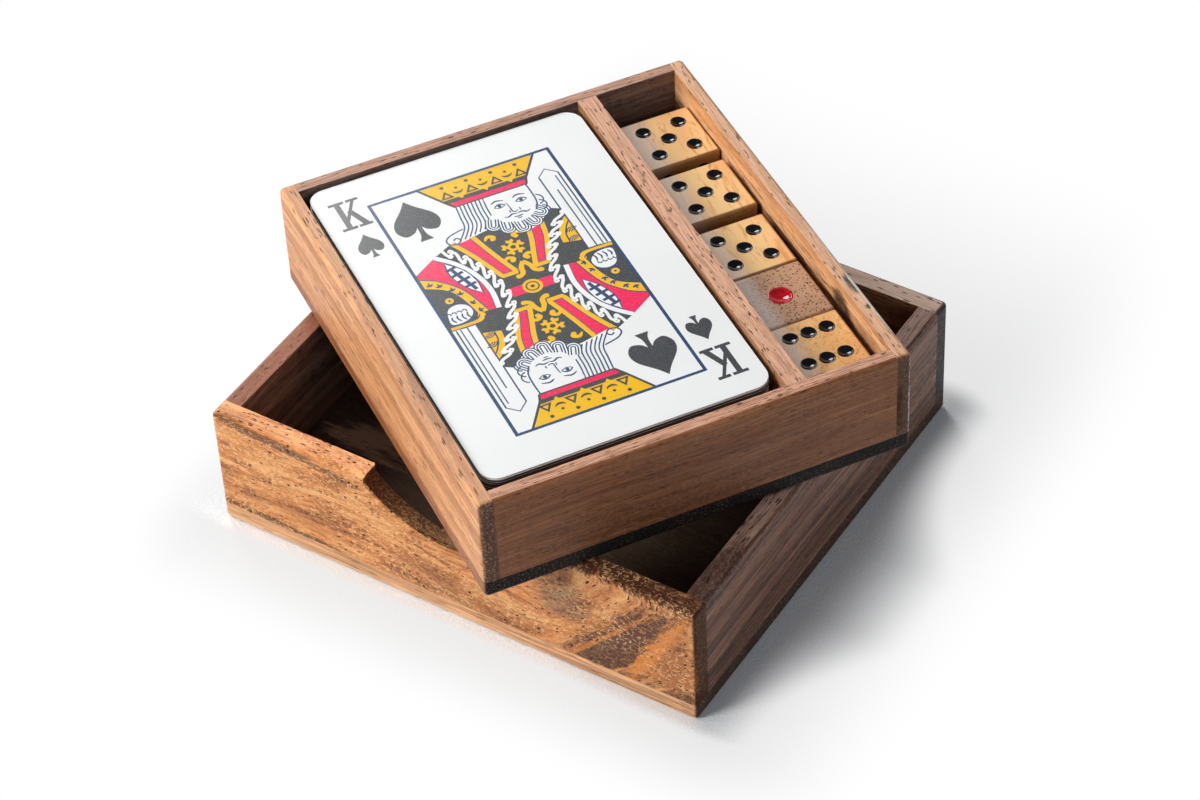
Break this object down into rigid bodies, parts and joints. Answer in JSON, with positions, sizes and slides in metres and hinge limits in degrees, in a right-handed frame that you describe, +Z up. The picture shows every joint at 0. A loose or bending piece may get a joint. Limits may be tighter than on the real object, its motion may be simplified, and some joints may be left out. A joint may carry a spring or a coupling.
{
  "type": "playing card and dice box",
  "caption": "Wooden card and dice box: an open case with a thumb notch, and a lift-out tray with wells for a pack of cards and a row of dice, set askew on the rim.",
  "frame": {"origin": "centre of the case's underside, on the surface that it stands on", "axes": "+Z up, +X along the case's long walls, -Y out through the wall with the thumb notch"},
  "size_m": [0.1282, 0.1252, 0.0517],
  "materials": {
    "case_front_wood": "oiled, figured, golden brown",
    "case_wood": "oiled, mid brown",
    "case_side_wood": "oiled, dark brown",
    "case_bottom_wood": "oiled, golden brown",
    "tray_side_wood": "oiled, light brown",
    "tray_end_wood": "oiled, mid brown",
    "tray_bottom_wood": "oiled, dark end grain",
    "card_stock": "coated card, cut edges",
    "printed_card": "coated and printed card",
    "dice_wood": "smooth, pale, with painted pips",
    "speckled_dice_wood": "smooth, speckled brown, with a painted pip"
  },
  "bodies": {
    "case": {"case_front_panel": "case_front_wood", "case_back_panel": "case_wood", "case_left_panel": "case_wood", "case_right_panel": "case_side_wood", "case_bottom_board": "case_bottom_wood"},
    "tray": {"tray_left_panel": "tray_side_wood", "tray_right_panel": "tray_side_wood", "tray_front_panel": "tray_end_wood", "tray_back_panel": "tray_end_wood", "tray_divider": "tray_end_wood", "tray_bottom_board": "tray_bottom_wood"},
    "card_deck": {"card_deck": "card_stock"},
    "top_card": {"top_card": "printed_card"},
    "die_1": {"die_1": "dice_wood"},
    "die_2": {"die_2": "speckled_dice_wood"},
    "die_3": {"die_3": "dice_wood"},
    "die_4": {"die_4": "dice_wood"},
    "die_5": {"die_5": "dice_wood"}
  },
  "joints": [
    {"name": "tray_lift", "type": "slide", "parent": "case", "child": "tray", "axis": [0, 0, 1], "range_m": [0, 0.06]},
    {"name": "card_deck_lift", "type": "slide", "parent": "tray", "child": "card_deck", "axis": [0, 0, 1], "range_m": [0, 0.035]},
    {"name": "top_card_lift", "type": "slide", "parent": "card_deck", "child": "top_card", "axis": [0, 0, 1], "range_m": [0, 0.02]},
    {"name": "die_1_lift", "type": "slide", "parent": "tray", "child": "die_1", "axis": [0, 0, 1], "range_m": [0, 0.03]},
    {"name": "die_2_lift", "type": "slide", "parent": "tray", "child": "die_2", "axis": [0, 0, 1], "range_m": [0, 0.03]},
    {"name": "die_3_lift", "type": "slide", "parent": "tray", "child": "die_3", "axis": [0, 0, 1], "range_m": [0, 0.03]},
    {"name": "die_4_lift", "type": "slide", "parent": "tray", "child": "die_4", "axis": [0, 0, 1], "range_m": [0, 0.03]},
    {"name": "die_5_lift", "type": "slide", "parent": "tray", "child": "die_5", "axis": [0, 0, 1], "range_m": [0, 0.03]}
  ]
}
